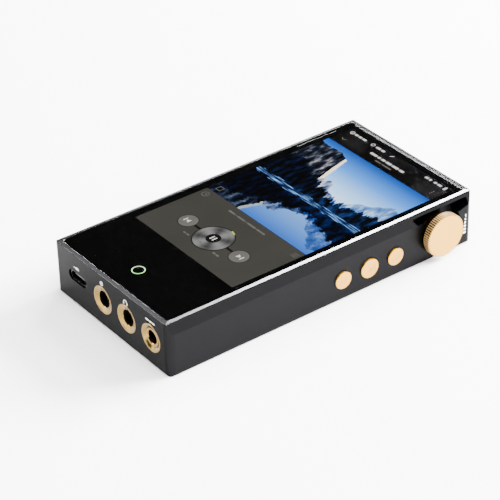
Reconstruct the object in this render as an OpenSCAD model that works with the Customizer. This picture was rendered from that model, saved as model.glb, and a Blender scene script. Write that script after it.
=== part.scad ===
// Pocket digital audio player, lying on its back with the screen up.
// +X is the side with the knob and the three keys, -Y is the end with the sockets,
// and the origin is the middle of the back face.

/* [Body] */
// Length of the body, from the socket end to the top end
body_l = 121; // [118:1:150]
// Width of the body
body_w = 62; // [61:1:76]
// Thickness of the body
body_h = 19; // [18.6:0.2:23]
// Radius of the four upright corners
corner_r = 2.5; // [1.5:0.1:3]
// Thickness of the two long walls
side_wall = 2.6; // [2.2:0.1:3.2]
// Thickness of the two end walls
end_wall = 2.8; // [2.4:0.1:3.4]
// Height of the sloping band under the rim, on the two long sides
band_drop = 4; // [3:0.1:5]
// How far the band leans in at its top
band_inset = 1.2; // [0.6:0.1:1.6]
// Width of the rim beside the glass
rim_side = 1.3; // [1:0.05:2]
// Width of the rim at the ends of the glass
rim_end = 1.43; // [1:0.01:2]
// How far the rim falls from the glass to its outer edge
rim_drop = 0.17; // [0.05:0.01:0.3]
// Radius of the bottom edges
foot_r = 0.8; // [0.4:0.1:1]

/* [Glass and screen] */
// Thickness of the cover glass
glass_t = 1.1; // [0.8:0.05:1.4]
// Clearance around the cover glass
glass_gap = 0.05; // [0.03:0.01:0.15]
// Corner radius of the cover glass
glass_r = 2; // [1:0.1:3]
// Thickness of the black border film that bonds the glass
film_t = 0.05; // [0.05:0.01:0.1]
// Width of the lit picture
view_w = 51.6; // [48:0.1:52]
// Length of the lit picture
view_l = 89.5; // [80:0.5:90]
// Place of the picture's middle along the body, from the top end
view_from_top = 48.75; // [48.75:0.25:52]
// Thickness of the touch sensor
touch_t = 0.3; // [0.2:0.05:0.5]
// Thickness of the liquid crystal panel
lcd_t = 1.4; // [1:0.1:1.6]
// Thickness of the backlight
backlight_t = 1.4; // [1:0.1:1.6]
// Thickness of the screen's steel back plate
plate_t = 0.45; // [0.3:0.05:0.6]
// Thickness of the body's web under the screen
web_t = 1.1; // [0.9:0.1:1.3]
// Outer radius of the glowing touch key ring
halo_r = 2.2; // [2:0.1:3.2]
// Width of the glowing ring
halo_w = 0.3; // [0.3:0.05:0.8]
// Distance of the touch key from the socket end
halo_from_end = 11.1; // [10:0.1:14]

/* [Back] */
// Thickness of the rear cover
cover_t = 1.2; // [1:0.1:1.3]
// Clearance around the rear cover
cover_gap = 0.08; // [0.05:0.01:0.2]
// Radius of the six screw posts
post_r = 2.3; // [2:0.1:2.5]

/* [Sockets] */
// Distance of the three round sockets' axes below the top of the glass
jack_down = 9.1; // [8.6:0.1:9.4]
// Distance between neighbouring round sockets
jack_pitch = 12.9; // [11.5:0.1:13]
// Distance of the last round socket from the knob side
jack_from_side = 9.3; // [8.5:0.1:9.5]
// Outer diameter of the gold rings
ring_d = 9.7; // [9.4:0.1:10]
// Depth of the gold rings
ring_t = 1.6; // [1.4:0.05:1.8]
// Bore of the line and phones sockets
small_bore_d = 3.6; // [3.6:0.02:3.7]
// Bore of the balanced socket
large_bore_d = 4.5; // [4.5:0.02:4.6]
// Distance of the USB-C socket below the top of the glass
usb_down = 8.4; // [8:0.1:9]
// Width of the USB-C opening in the body
usb_w = 9.9; // [9.6:0.1:10.4]
// Height of the USB-C opening in the body
usb_h = 3.7; // [3.6:0.1:4]

/* [Volume knob] */
// Radius of the knurled rim
knob_r = 7.5; // [6.5:0.1:7.6]
// How far the knob's face stands out from the side
knob_proud = 3.4; // [3:0.1:4.5]
// Gap behind the knob's rim
knob_gap = 0.5; // [0.45:0.05:0.8]
// Number of ridges around the rim
knob_ridges = 60; // [40:1:72]
// Distance of the knob's axis from the top end
knob_from_top = 14.35; // [14:0.05:16]
// Distance of the knob's axis below the top of the glass
knob_down = 9.8; // [9.4:0.1:10]
// Travel of the knob when it is pressed
knob_travel = 0.35; // [0.2:0.05:0.4]
// Radius of the encoder shaft
shaft_r = 2; // [1.5:0.1:2.2]

/* [Keys] */
// Radius of the previous and next keys
key_r = 3.1; // [2.6:0.05:3.3]
// Radius of the play key
play_key_r = 3.45; // [3:0.05:3.6]
// How far the keys stand out from the side
key_proud = 0.6; // [0.4:0.05:1]
// Clearance around the keys
key_gap = 0.1; // [0.05:0.01:0.2]
// Distance between neighbouring keys
key_pitch = 10.7; // [9.5:0.1:11]
// Distance of the keys' axes below the top of the glass
key_down = 11.5; // [11:0.1:12]
// Distance of the play key from the knob's axis
play_from_knob = 29.3; // [28:0.1:31]
// Travel of the keys
key_travel = 0.4; // [0.2:0.05:0.4]

/* [Boards and battery] */
// Thickness of the circuit boards
pcb_t = 1; // [0.8:0.1:1.2]
// Clearance between a board and the walls
board_gap = 0.6; // [0.3:0.1:1]
// Width of the battery
battery_w = 31; // [26:0.5:32]
// Thickness of the foam pad under the battery
pad_t = 0.7; // [0.4:0.1:0.9]
// Clearance between the battery and the board over it
battery_gap = 1; // [0.9:0.1:1.2]

/* [Hidden] */
$fn = 96;
eps = 0.01;
hw = body_w / 2;
hl = body_l / 2;

// heights of the controls and sockets above the back
knob_z = body_h - knob_down;
key_z = body_h - key_down;
jack_z = body_h - jack_down;
usb_z = body_h - usb_down;

// heights of the layers, from the glass down
glass_low = body_h - glass_t;
ledge_z = glass_low - film_t;
touch_low = ledge_z - touch_t;
lcd_low = touch_low - lcd_t;
backlight_low = lcd_low - backlight_t;
web_top = backlight_low - plate_t;
web_low = web_top - web_t;

// glass and screen
glass_w = body_w - 2 * (band_inset + rim_side);
glass_l = body_l - 2 * rim_end;
view_y = hl - view_from_top;
panel_w = view_w + 1;
panel_y0 = view_y - view_l / 2 - 3;
panel_y1 = view_y + view_l / 2 + 1.2;
panel_gap = 0.2;
halo_y = -hl + halo_from_end;

// cavity
cav_x = hw - side_wall;
cav_y = hl - end_wall;
post_x = cav_x - 3;
post_y = cav_y - 2.8;
roof_z = glass_low - 1.6;
roof_y = panel_y0 - 2;

// knob pocket in the side
knob_y = hl - knob_from_top;
slot_top = body_h - 1.5;
slot_floor = body_h - 4.1;
slot_left = 11.25;
slot_right = 12;
slot_lean = 2.2;
slot_fall = 1.3;
well_r = knob_r + 0.5;
well_y = knob_y + 1.25;
well_low = cover_t + 1;
nose_r = 1.9;
scoop_r = 21.5;
scoop_depth = 3.8;
scoop_y = knob_y + 0.45;
boss_wall = 1.8;
scoop_x = hw - scoop_depth;
boss_x = scoop_x - boss_wall;
boss_y = knob_y - slot_left - 1.3;

// knob and encoder
knob_face = hw + knob_proud;
knob_back = hw + knob_gap;
hub_r = 5.9;
hub_low = scoop_x + 1.8;
bush_r = 3;
bush_end = scoop_x + 2;
nut_t = 1.4;
nut_r = 4.4;
running_gap = 0.05;
socket_gap = 0.03;
encoder_t = 8.2;
encoder_w = 11;
encoder_h = min(8, 2 * (web_low - knob_z));
encoder_x = boss_x - encoder_t;
plunger_r = 2.4;
plunger_t = 0.8;
plunger_x = encoder_x + 1.6;
shaft_x0 = plunger_x + plunger_t + running_gap;
shaft_x1 = knob_face - 1.2;
knurl_depth = 0.42;
knob_bevel = 0.18;

// keys
play_y = knob_y - play_from_knob;
key_y = [play_y - key_pitch, play_y, play_y + key_pitch];
key_radius = [key_r, play_key_r, key_r];
flange_w = 0.6;
flange_t = 0.7;
flange_gap = 0.05;
flange_x = cav_x - flange_gap;
switch_tip = flange_x - flange_t - key_travel - 0.05;
switch_x = switch_tip - 1.2;
keyboard_x = switch_x - 1.8;
keyboard_z0 = cover_t + 0.4;
key_screw_y = [play_y - key_pitch / 2, play_y + key_pitch / 2];
key_screw_z = 2.9;

// sockets, named from the USB-C side to the knob side
jack_x = [for (i = [2, 1, 0]) hw - jack_from_side - i * jack_pitch];
bore_d = [small_bore_d, small_bore_d, large_bore_d];
mouth_d = [5.4, 5.4, 6.4];
jack_depth = [14, 14, 17];
socket_sink = [0.7, 0.7, ring_t];
nose_d = 7.6;
usb_x = jack_x[0] - 13.75;
usb_shell_w = 8.94;
usb_shell_h = 3.2;
usb_wall = 0.3;

// boards
audio_top = jack_z - 4.5;
audio_low = audio_top - pcb_t;
board_x = cav_x - board_gap;
mid_y = -13;
audio_y0 = -cav_y + board_gap;
audio_y1 = mid_y - post_r - 0.2;
main_y0 = mid_y + post_r + 0.2;
main_y1 = cav_y - board_gap;
main_top = web_low - 1;
main_low = main_top - pcb_t;
battery_top = main_low - battery_gap;
battery_low = cover_t + pad_t;
battery_x0 = -board_x + 0.4;
battery_x1 = battery_x0 + battery_w;
battery_y0 = main_y0 + 1.5;
battery_y1 = post_y - post_r - 0.8;
chip_x = battery_x1 + 5;

// screws
post_at = [for (x = [-post_x, post_x], y = [mid_y, post_y]) [x, y]];
lug_at = [for (x = [-post_x, post_x]) [x, -post_y]];
lug_top = audio_low - 0.7;
cover_shank_r = 0.8;
cover_reach = lug_top - 0.3;
board_shank_r = 0.7;
thread_gap = 0.02;
main_screw_at = [
    [-board_x + 3.2, main_y0 + 3.2], [-board_x + 3.2, post_y - post_r - 3.5],
    [battery_x1 + 6, main_y1 - 3.2], [boss_x - 5, boss_y - 3]
];
audio_screw_at = [
    [-board_x + 3.4, audio_y1 - 3.4], [board_x - 3.4, audio_y1 - 3.4],
    [-board_x + 3.4, audio_y0 + 14], [(jack_x[0] + jack_x[1]) / 2, audio_y0 + 18.4]
];

// card slot in the other long side
card_y = -29;
card_w = 12.4;
card_h = 1.2;
card_z = audio_top + 0.35;

// marks
mark_t = 0.12;
mark_proud = 0.015;
bar_count = 6;
bar_pitch = 1.24;

// ---- shapes shared by several pieces ----

// a flat rectangle with round corners, centred
module round_rect(w, l, r) {
    square([w - 2 * r, l], center = true);
    square([w, l - 2 * r], center = true);
    for (x = [-1, 1], y = [-1, 1])
        translate([x * (w / 2 - r), y * (l / 2 - r)]) circle(r);
}

// a flat slot with half-round ends, centred
module flat_slot(w, h) {
    square([w - h, h], center = true);
    for (x = [-1, 1]) translate([x * (w - h) / 2, 0]) circle(h / 2);
}

// a block between two corners
module block(lo, hi) {
    translate(lo) cube(hi - lo);
}

// a flat shape in Y and Z, pushed along X from x0 to x1
module along_x(x0, x1) {
    translate([x0, 0, 0]) rotate([90, 0, 90]) linear_extrude(x1 - x0) children();
}

// a flat shape in X and Z, pushed along Y from y0 to y1
module along_y(y0, y1) {
    translate([0, y1, 0]) rotate([90, 0, 0]) linear_extrude(y1 - y0) children();
}

// a round bar along X, along Y and along Z
module bar_x(x0, x1, y, z, r) {
    translate([x0, y, z]) rotate([0, 90, 0]) cylinder(h = x1 - x0, r = r);
}
module bar_y(x, y0, y1, z, r) {
    translate([x, y0, z]) rotate([-90, 0, 0]) cylinder(h = y1 - y0, r = r);
}
module bar_z(x, y, z0, z1, r) {
    translate([x, y, z0]) cylinder(h = z1 - z0, r = r);
}

// a profile of radius and height turned around Z, then laid along X
module turned_x(x, y, z, points) {
    translate([x, y, z]) rotate([0, 90, 0]) rotate_extrude() polygon(points);
}

// a profile of radius and depth turned and laid along +Y
module turned_y(x, y, z, points) {
    translate([x, y, z]) rotate([-90, 0, 0]) rotate_extrude() polygon(points);
}

function arc(cx, cy, r, a0, a1, steps) =
    [for (i = [0:steps]) let (a = a0 + (a1 - a0) * i / steps) [cx + r * cos(a), cy + r * sin(a)]];

// a cross-head screw that points up, with the top of its head's rim at the origin
module screw_up(head_r, head_h, shank_r, reach, countersunk) {
    difference() {
        union() {
            if (countersunk) cylinder(h = head_h, r1 = head_r, r2 = shank_r);
            else cylinder(h = head_h, r = head_r);
            cylinder(h = reach, r = shank_r);
        }
        for (a = [0, 90])
            rotate([0, 0, a]) translate([0, 0, head_h * 0.3 - eps])
                cube([head_r * 1.2, head_r * 0.28, head_h * 0.6], center = true);
    }
}

// ---- frame ----

// section across the body, half by half: foot, side, band and rim
function half_section(half, lean, rim) = concat(
    arc(half - foot_r, foot_r, foot_r, -90, 0, 5),
    [[half, body_h - (lean > 0 ? band_drop : 0.16) - 0.12]],
    lean > 0
        ? [[half - 0.02, body_h - band_drop + 0.1], [half - lean, body_h - rim_drop - 0.05]]
        : [],
    [[half - lean - 0.1, body_h - rim_drop + 0.01], [half - lean - rim, body_h]]
);

module section(half, lean, rim) {
    right = half_section(half, lean, rim);
    left = [for (i = [len(right) - 1:-1:0]) [-right[i][0], right[i][1]]];
    polygon(concat(right, left));
}

module frame_blank() {
    intersection() {
        linear_extrude(body_h) round_rect(body_w, body_l, corner_r);
        along_y(-hl - 1, hl + 1) section(hw, band_inset, rim_side);
        along_x(-hw - 1, hw + 1) section(hl, 0, rim_end);
    }
}

// outline of the knob pocket, seen from the side
module pocket_outline() {
    nose_z = slot_floor - nose_r;
    nose_y = well_y - sqrt(pow(well_r + nose_r, 2) - pow(nose_z - knob_z, 2));
    difference() {
        union() {
            intersection() {
                translate([well_y, knob_z]) circle(well_r);
                translate([well_y - 20, well_low]) square([40, 40]);
            }
            polygon([
                [knob_y - slot_left, slot_top], [knob_y + slot_right - 0.1, slot_top],
                [knob_y + slot_right + 0.5, slot_floor - 0.2],
                [well_y + well_r - 0.4, slot_floor - slot_fall], [well_y, slot_floor - slot_fall],
                [well_y, slot_floor], [knob_y - slot_left + slot_lean, slot_floor]
            ]);
            polygon([[nose_y, nose_z], [nose_y, slot_floor], [well_y, slot_floor], [well_y, knob_z]]);
        }
        translate([nose_y, nose_z]) circle(nose_r);
    }
}

module knob_pocket() {
    intersection() {
        along_x(scoop_x, hw + 1) pocket_outline();
        translate([scoop_x + scoop_r, scoop_y, 0]) cylinder(h = body_h, r = scoop_r, $fn = 192);
    }
    // beyond the knob the pocket keeps its full depth
    intersection() {
        along_x(scoop_x, hw + 1) pocket_outline();
        block([scoop_x - 1, scoop_y + 3, 0], [hw + 2, hl, body_h]);
    }
    bar_x(scoop_x, scoop_x + nut_t, knob_y, knob_z, nut_r + 0.3);
    bar_x(boss_x - 1, scoop_x + 1, knob_y, knob_z, bush_r + socket_gap);
}

// room for the glass, the screen and the touch key's light
module screen_room() {
    translate([0, 0, ledge_z])
        linear_extrude(body_h) round_rect(glass_w + 2 * glass_gap, glass_l + 2 * glass_gap, glass_r);
    block(
        [-panel_w / 2 - panel_gap, panel_y0 - panel_gap, web_top],
        [panel_w / 2 + panel_gap, panel_y1 + panel_gap, body_h]
    );
    block([-8.2, panel_y0 + 0.4, web_low - 1], [8.2, panel_y0 + 1.8, web_top + 1]);
    bar_z(0, halo_y, roof_z - 1, body_h, halo_r + 0.2);
}

// everything solid inside the cavity
module cavity_solids() {
    for (p = post_at) bar_z(p[0], p[1], cover_t, roof_z + 1, post_r);
    for (p = lug_at) {
        bar_z(p[0], p[1], cover_t, lug_top, post_r);
        block(
            [min(p[0], sign(p[0]) * hw), -hl, cover_t],
            [max(p[0], sign(p[0]) * hw), p[1] + post_r, lug_top]
        );
    }
    for (p = audio_screw_at) bar_z(p[0], p[1], audio_top, roof_z + 1, 1.8);
    for (p = main_screw_at) bar_z(p[0], p[1], main_top, web_low + 1, 1.9);
    for (y = key_screw_y) bar_x(keyboard_x + pcb_t, cav_x + 1, y, key_screw_z, 1.5);
    block([boss_x, boss_y, cover_t], [hw, hl, web_low + 1]);
}

module cavity() {
    difference() {
        union() {
            block([-cav_x, -cav_y, -1], [cav_x, cav_y, web_low]);
            block([-cav_x, -cav_y, -1], [cav_x, roof_y, roof_z]);
        }
        cavity_solids();
    }
}

module frame_holes() {
    for (p = concat(post_at, lug_at)) bar_z(p[0], p[1], -1, cover_reach + 0.1, cover_shank_r + thread_gap);
    for (p = audio_screw_at) bar_z(p[0], p[1], audio_top - 1, audio_top + 4, board_shank_r + thread_gap);
    for (p = main_screw_at) bar_z(p[0], p[1], main_top - 1, main_top + 0.8, board_shank_r + thread_gap);
    for (y = key_screw_y) bar_x(keyboard_x, cav_x + 1, y, key_screw_z, board_shank_r + thread_gap);
    for (i = [0:2]) bar_x(cav_x - 1, hw + 1, key_y[i], key_z, key_radius[i] + key_gap);
    for (x = jack_x) {
        bar_y(x, -hl - 1, -hl + ring_t, jack_z, ring_d / 2 + socket_gap);
        bar_y(x, -hl - 1, -cav_y + 1, jack_z, nose_d / 2 + socket_gap);
    }
    along_y(-hl - 1, -cav_y + 1) translate([usb_x, usb_z]) flat_slot(usb_w, usb_h);
    block([-hw - 1, card_y - card_w / 2, card_z], [-cav_x + 1, card_y + card_w / 2, card_z + card_h]);
}

module frame() {
    color("#4a4a4c") difference() {
        frame_blank();
        screen_room();
        cavity();
        knob_pocket();
        frame_holes();
        mark_bars(mark_t, 1);
        mark_icons(mark_t, 1);
    }
}

// ---- marks on the side and the socket end ----

// graduated bars beside the knob, the widest lowest
module mark_bars(depth, proud) {
    for (i = [0:bar_count - 1]) {
        w = 0.3 + 0.16 * i;
        h = i == 0 ? 1 : 0.7;
        along_x(hw - depth, hw + proud)
            translate([knob_y + 11.6 - w, knob_z + 1.1 - bar_pitch * i]) square([w, h]);
    }
}

module mark_ring(x, z, r_out, r_in) {
    translate([x, z]) difference() {
        circle(r_out, $fn = 40);
        circle(r_in, $fn = 40);
    }
}

// a plug over the USB-C socket, a ring and dot, a headband, and a row of bars
module icon_shapes() {
    icon_z = jack_z + 6.1;
    translate([usb_x - 0.2, usb_z + 3.6]) {
        square([1.1, 0.8], center = true);
        translate([-1.1, 0]) square([1.2, 0.2], center = true);
        for (z = [-1, 1]) translate([0.85, z * 0.24]) square([0.7, 0.18], center = true);
    }
    mark_ring(jack_x[0], icon_z, 0.75, 0.5);
    translate([jack_x[0], icon_z]) circle(0.25, $fn = 24);
    intersection() {
        mark_ring(jack_x[1], icon_z - 0.3, 1.05, 0.8);
        translate([jack_x[1] - 2, icon_z - 0.3]) square([4, 2]);
    }
    for (s = [-1, 1])
        translate([jack_x[1] + s * 0.9, icon_z - 0.45]) square([0.4, 0.9], center = true);
    for (bar = [[-1.4, 1.6], [0.35, 1.1], [1.85, 1.1]])
        translate([jack_x[2] + bar[0], icon_z]) square([bar[1], 0.5], center = true);
}

module mark_icons(depth, proud) {
    along_y(-hl - proud, -hl + depth) icon_shapes();
}

module volume_marks() {
    color("white") mark_bars(mark_t, mark_proud);
}

module socket_marks() {
    color("white") mark_icons(mark_t, mark_proud);
}

// ---- glass and screen ----

module front_glass() {
    edge = 0.12;
    color("#101012") intersection() {
        translate([0, 0, glass_low]) linear_extrude(glass_t) round_rect(glass_w, glass_l, glass_r);
        along_y(-hl, hl) polygon([
            [-glass_w / 2, 0], [glass_w / 2, 0], [glass_w / 2, body_h - edge],
            [glass_w / 2 - edge, body_h], [-glass_w / 2 + edge, body_h], [-glass_w / 2, body_h - edge]
        ]);
        along_x(-hw, hw) polygon([
            [-glass_l / 2, 0], [glass_l / 2, 0], [glass_l / 2, body_h - edge],
            [glass_l / 2 - edge, body_h], [-glass_l / 2 + edge, body_h], [-glass_l / 2, body_h - edge]
        ]);
    }
}

module border_film() {
    color("black") translate([0, 0, ledge_z]) linear_extrude(film_t) {
        difference() {
            round_rect(glass_w - 0.2, glass_l - 0.2, glass_r);
            translate([0, view_y]) square([view_w, view_l], center = true);
            translate([0, halo_y]) circle(halo_r);
        }
        translate([0, halo_y]) circle(halo_r - halo_w);
    }
}

module screen_layer(low, thick, shrink) {
    block(
        [-panel_w / 2 + shrink, panel_y0 + shrink, low],
        [panel_w / 2 - shrink, panel_y1 - shrink, low + thick]
    );
}

module touch_sensor() {
    color("#8a9099") screen_layer(touch_low, touch_t, 0);
}

module lcd_panel() {
    color("#2e4a78") screen_layer(lcd_low, lcd_t, 0.1);
}

module backlight() {
    color("#e8ebee") screen_layer(backlight_low, backlight_t, 0.1);
}

module screen_plate() {
    color("#b9bcc0") screen_layer(web_top, plate_t, 0);
}

// the screen's flat cable, down through the web and along to the main board
module screen_flex() {
    flex_t = 0.15;
    y = panel_y0 + 1.1;
    run_z = main_top + 0.35;
    color("#b5762a") {
        block([-7, y - flex_t, run_z], [7, y, web_top]);
        block([-7, y - flex_t, run_z], [7, main_y0 + 2, run_z + flex_t]);
        block([-6, main_y0 + 0.6, main_top], [6, main_y0 + 2, run_z]);
    }
}

module halo_guide() {
    color("#d8ffd0") difference() {
        bar_z(0, halo_y, roof_z, ledge_z, halo_r);
        bar_z(0, halo_y, roof_z - 1, body_h, halo_r - halo_w);
    }
}

module halo_board() {
    color("#1f4a34") block([-5, halo_y - 4.5, roof_z - 0.6], [5, halo_y + 4.5, roof_z]);
}

module halo_led() {
    color("#f2ffe8") block([-0.8, halo_y - 0.4, roof_z], [0.8, halo_y + 0.4, roof_z + 0.55]);
}

// ---- back ----

module rear_cover() {
    color("#3c3c3e") difference() {
        block([-cav_x + cover_gap, -cav_y + cover_gap, 0], [cav_x - cover_gap, cav_y - cover_gap, cover_t]);
        for (p = concat(post_at, lug_at)) {
            bar_z(p[0], p[1], -1, cover_t + 1, cover_shank_r + 0.1);
            translate([p[0], p[1], -eps]) cylinder(h = 0.82, r1 = 1.72, r2 = 0.9);
        }
    }
}

module rear_screws() {
    color("#8f9094") for (p = concat(post_at, lug_at))
        translate([p[0], p[1], 0.05]) screw_up(1.6, 0.75, cover_shank_r, cover_reach - 0.05, true);
}

module battery() {
    color("#2c2f36") block(
        [battery_x0, battery_y0, battery_low], [battery_x1, battery_y1, battery_top]
    );
}

module battery_pad() {
    color("#5a5a5a") block(
        [battery_x0 + 3, battery_y0 + 4, cover_t], [battery_x1 - 3, battery_y1 - 4, battery_low]
    );
}

// plug on the board and the two short leads that join it to the battery
module battery_plug() {
    y = battery_y0 + 4;
    color("#e9e4d4") block([battery_x1 + 1, y - 2, main_low - 1.6], [battery_x1 + 5, y + 2, main_low]);
    color("#b02a22") for (s = [-1, 1])
        bar_x(battery_x1, battery_x1 + 1, y + s, battery_top - 0.4, 0.35);
}

// ---- main board ----

module board_screws(at, low, reach) {
    for (p = at) translate([p[0], p[1], low - 0.7]) screw_up(1.25, 0.7, board_shank_r, reach, false);
}

// a square notch in the main board's corner, clear of the screw post there
module post_notch(side) {
    x = side * (post_x - post_r - 0.4);
    block([min(x, side * hw), post_y - post_r - 0.4, 0], [max(x, side * hw), hl, body_h]);
}

module main_board() {
    color("#14402c") difference() {
        block([-board_x, main_y0, main_low], [board_x, main_y1, main_top]);
        block([boss_x - encoder_t - 2.2, boss_y - 0.4, 0], [hw, hl, body_h]);
        block([keyboard_x - 1.6, key_y[0] - 5.6, 0], [hw, hl, body_h]);
        for (s = [-1, 1]) post_notch(s);
        for (p = main_screw_at) bar_z(p[0], p[1], 0, body_h, board_shank_r + 0.1);
    }
}

module main_screws() {
    color("#a7a8aa") board_screws(main_screw_at, main_low, pcb_t + 1.4);
}

module processor() {
    color("#1b1b1d") block([chip_x + 2, -7, main_low - 1.1], [chip_x + 12, 3, main_low]);
}

module processor_shield() {
    x0 = chip_x + 0.6;
    x1 = chip_x + 13.4;
    low = main_low - 1.9;
    color("#b8babd") difference() {
        block([x0, -9, low], [x1, 5, main_low]);
        block([x0 + 0.25, -8.75, low + 0.25], [x1 - 0.25, 4.75, main_low + 1]);
    }
}

module thermal_pad() {
    color("#7d90b8") block([chip_x + 2, -6, main_top], [chip_x + 12, 3, web_low]);
}

module memory_chips() {
    color("#222226") for (y = [7.5, 19])
        block([chip_x + 2, y, main_low - 1], [chip_x + 13, y + 9, main_low]);
}

module wireless_module() {
    color("#9fa3a8") block([battery_x1 + 1.5, 31, main_low - 1.6], [battery_x1 + 7, 41, main_low]);
}

module antenna_strip() {
    color("#c98a3a") {
        block([-20, cav_y - 0.2, main_low - 5], [-2, cav_y, main_low - 1]);
        block([-12, main_y1 - 1.2, main_low - 0.2], [-10, main_y1 - 0.2, main_low]);
        block([-12, main_y1 - 0.2, main_low - 1.2], [-10, cav_y, main_low - 1]);
        block([-12, main_y1 - 0.4, main_low - 1.2], [-10, main_y1 - 0.2, main_low]);
    }
}

// ---- audio board ----

module audio_board() {
    color("#10263a") difference() {
        block([-board_x, audio_y0, audio_low], [board_x, audio_y1, audio_top]);
        for (p = audio_screw_at) bar_z(p[0], p[1], 0, body_h, board_shank_r + 0.1);
    }
}

module audio_screws() {
    color("#a7a8aa") board_screws(audio_screw_at, audio_low, pcb_t + 4);
}

module dac_chips() {
    color("#1a1a1c") for (x = [3.5, 13.2])
        block([x, -28, audio_top], [x + 6.5, -21.5, audio_top + 1]);
}

module amp_chips() {
    color("#242428") for (x = [-10, -5, 0, 5, 12, 19])
        block([x - 1.6, -36.5, audio_top], [x + 1.6, -33.5, audio_top + 1.2]);
}

module audio_capacitors() {
    color("#d8b25c") for (x = [-9, -3.5, 22.5], y = [-30.5, -24])
        bar_z(x, y, audio_top, audio_top + 4.5, 2.1);
}

module clock_cans() {
    color("#c6c8ca") for (x = [9.5, 19.5])
        block([x - 1.6, -19.5, audio_top], [x + 1.6, -17, audio_top + 1.1]);
}

// flat cable that joins the two boards under the middle posts
module link_flex() {
    flex_t = 0.15;
    x0 = -4;
    x1 = 7;
    color("#b5762a") {
        block([x0, audio_y1 - 2.5, audio_top], [x1, audio_y1 - 0.9, audio_top + 0.9]);
        block([x0, audio_y1 - 0.9, audio_top + 0.6], [x1, mid_y, audio_top + 0.75]);
        block([x0, mid_y - flex_t, audio_top + 0.6], [x1, mid_y, main_low - 0.6]);
        block([x0, mid_y - flex_t, main_low - 0.75], [x1, main_y0 + 0.2, main_low - 0.6]);
        block([x0, main_y0 + 0.2, main_low - 0.9], [x1, main_y0 + 1.3, main_low]);
    }
}

// ---- USB-C ----

module usb_board() {
    top = usb_z - usb_shell_h / 2;
    color("#14402c") block([usb_x - 6, audio_y0, top - pcb_t], [usb_x + 6, audio_y0 + 11, top]);
    color("#26262a") block([usb_x - 5, audio_y0 + 3, audio_top], [usb_x + 5, audio_y0 + 5.4, top - pcb_t]);
}

module usb_shell() {
    color("#c9cbce") difference() {
        along_y(-hl + 0.5, -hl + 8) translate([usb_x, usb_z]) flat_slot(usb_shell_w, usb_shell_h);
        along_y(-hl - 1, -hl + 7.4) translate([usb_x, usb_z])
            flat_slot(usb_shell_w - 2 * usb_wall, usb_shell_h - 2 * usb_wall);
    }
}

module usb_tongue() {
    color("#1d1d20") block([usb_x - 3.35, -hl + 1.3, usb_z - 0.35], [usb_x + 3.35, -hl + 7.4, usb_z + 0.35]);
    color("#d9b25a") for (i = [0:5], s = [-1, 1])
        block(
            [usb_x - 2.75 + i, -hl + 1.6, usb_z + s * 0.37 - 0.02],
            [usb_x - 2.25 + i, -hl + 6, usb_z + s * 0.37 + 0.02]
        );
}

// ---- round sockets ----

module socket_body(i) {
    nose_y = -hl + ring_t;
    tip_y = -hl + socket_sink[i];
    color("#161618") difference() {
        union() {
            if (tip_y < nose_y)
                bar_y(jack_x[i], tip_y, nose_y + 0.2, jack_z, mouth_d[i] / 2 - socket_gap);
            bar_y(jack_x[i], nose_y, -cav_y + 0.5, jack_z, nose_d / 2);
            block(
                [jack_x[i] - 5, -cav_y, audio_top],
                [jack_x[i] + 5, tip_y + jack_depth[i] + 1, jack_z + 4.4]
            );
        }
        bar_y(jack_x[i], tip_y - 1, tip_y + jack_depth[i], jack_z, bore_d[i] / 2);
    }
}

module socket_ring(i) {
    r = ring_d / 2;
    m = mouth_d[i] / 2;
    color("#d9b98c") turned_y(jack_x[i], -hl, jack_z, [
        [m, ring_t], [m, 0.8], [m + 0.15, 0.6], [r - 0.75, 0.1], [r - 0.55, 0], [r - 0.08, 0],
        [r, 0.08], [r, ring_t]
    ]);
}

module line_socket() {
    socket_body(0);
}

module phones_socket() {
    socket_body(1);
}

module balanced_socket() {
    socket_body(2);
}

module line_ring() {
    socket_ring(0);
}

module phones_ring() {
    socket_ring(1);
}

module balanced_ring() {
    socket_ring(2);
}

// gold liner inside the balanced socket's mouth
module balanced_sleeve() {
    color("#e3c592") turned_y(jack_x[2], -hl, jack_z, [
        [large_bore_d / 2, 0.75], [large_bore_d / 2 + 0.25, 0.5],
        [mouth_d[2] / 2 - socket_gap, 0.5], [mouth_d[2] / 2 - socket_gap, ring_t],
        [large_bore_d / 2, ring_t]
    ]);
}

module socket_pins() {
    color("#c8cacc") for (x = jack_x, dx = [-3.5, 3.5], y = [4, 8, 12])
        block(
            [x + dx - 0.3, -cav_y + y - 0.3, audio_low - 0.5], [x + dx + 0.3, -cav_y + y + 0.3, audio_low]
        );
}

module card_socket() {
    x0 = -cav_x + 0.2;
    color("#bfc1c4") difference() {
        block([x0, card_y - 7.2, audio_top], [x0 + 15, card_y + 7.2, audio_top + 1.9]);
        block([x0 - 1, card_y - card_w / 2, card_z], [x0 + 13, card_y + card_w / 2, card_z + card_h]);
    }
}

// ---- volume knob ----

// teeth with flat tops and sloping sides, as one closed outline
function knurl_points() = [
    for (i = [0:knob_ridges - 1], k = [0:3])
        let (a = 360 / knob_ridges * (i + [0, 0.36, 0.56, 0.8][k]), r = k < 2 ? knob_r : knob_r - knurl_depth)
            [r * cos(a), r * sin(a)]
];

module volume_knob() {
    rim_t = knob_face - knob_back;
    color("#f3dcbc") difference() {
        union() {
            intersection() {
                translate([knob_back, knob_y, knob_z]) rotate([0, 90, 0])
                    linear_extrude(rim_t) polygon(knurl_points());
                turned_x(knob_back, knob_y, knob_z, [
                    [0, 0], [knob_r - 0.4, 0], [knob_r + eps, 0.5], [knob_r + eps, rim_t - knob_bevel],
                    [knob_r - knob_bevel, rim_t], [0, rim_t]
                ]);
            }
            bar_x(hub_low, knob_back + 0.5, knob_y, knob_z, hub_r);
        }
        bar_x(hub_low - 1, bush_end + knob_travel + 0.5, knob_y, knob_z, hub_r - 1);
        bar_x(hub_low, shaft_x1, knob_y, knob_z, shaft_r);
    }
}

module encoder_shaft() {
    color("#b6b8bb") bar_x(shaft_x0, shaft_x1, knob_y, knob_z, shaft_r);
}

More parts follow.
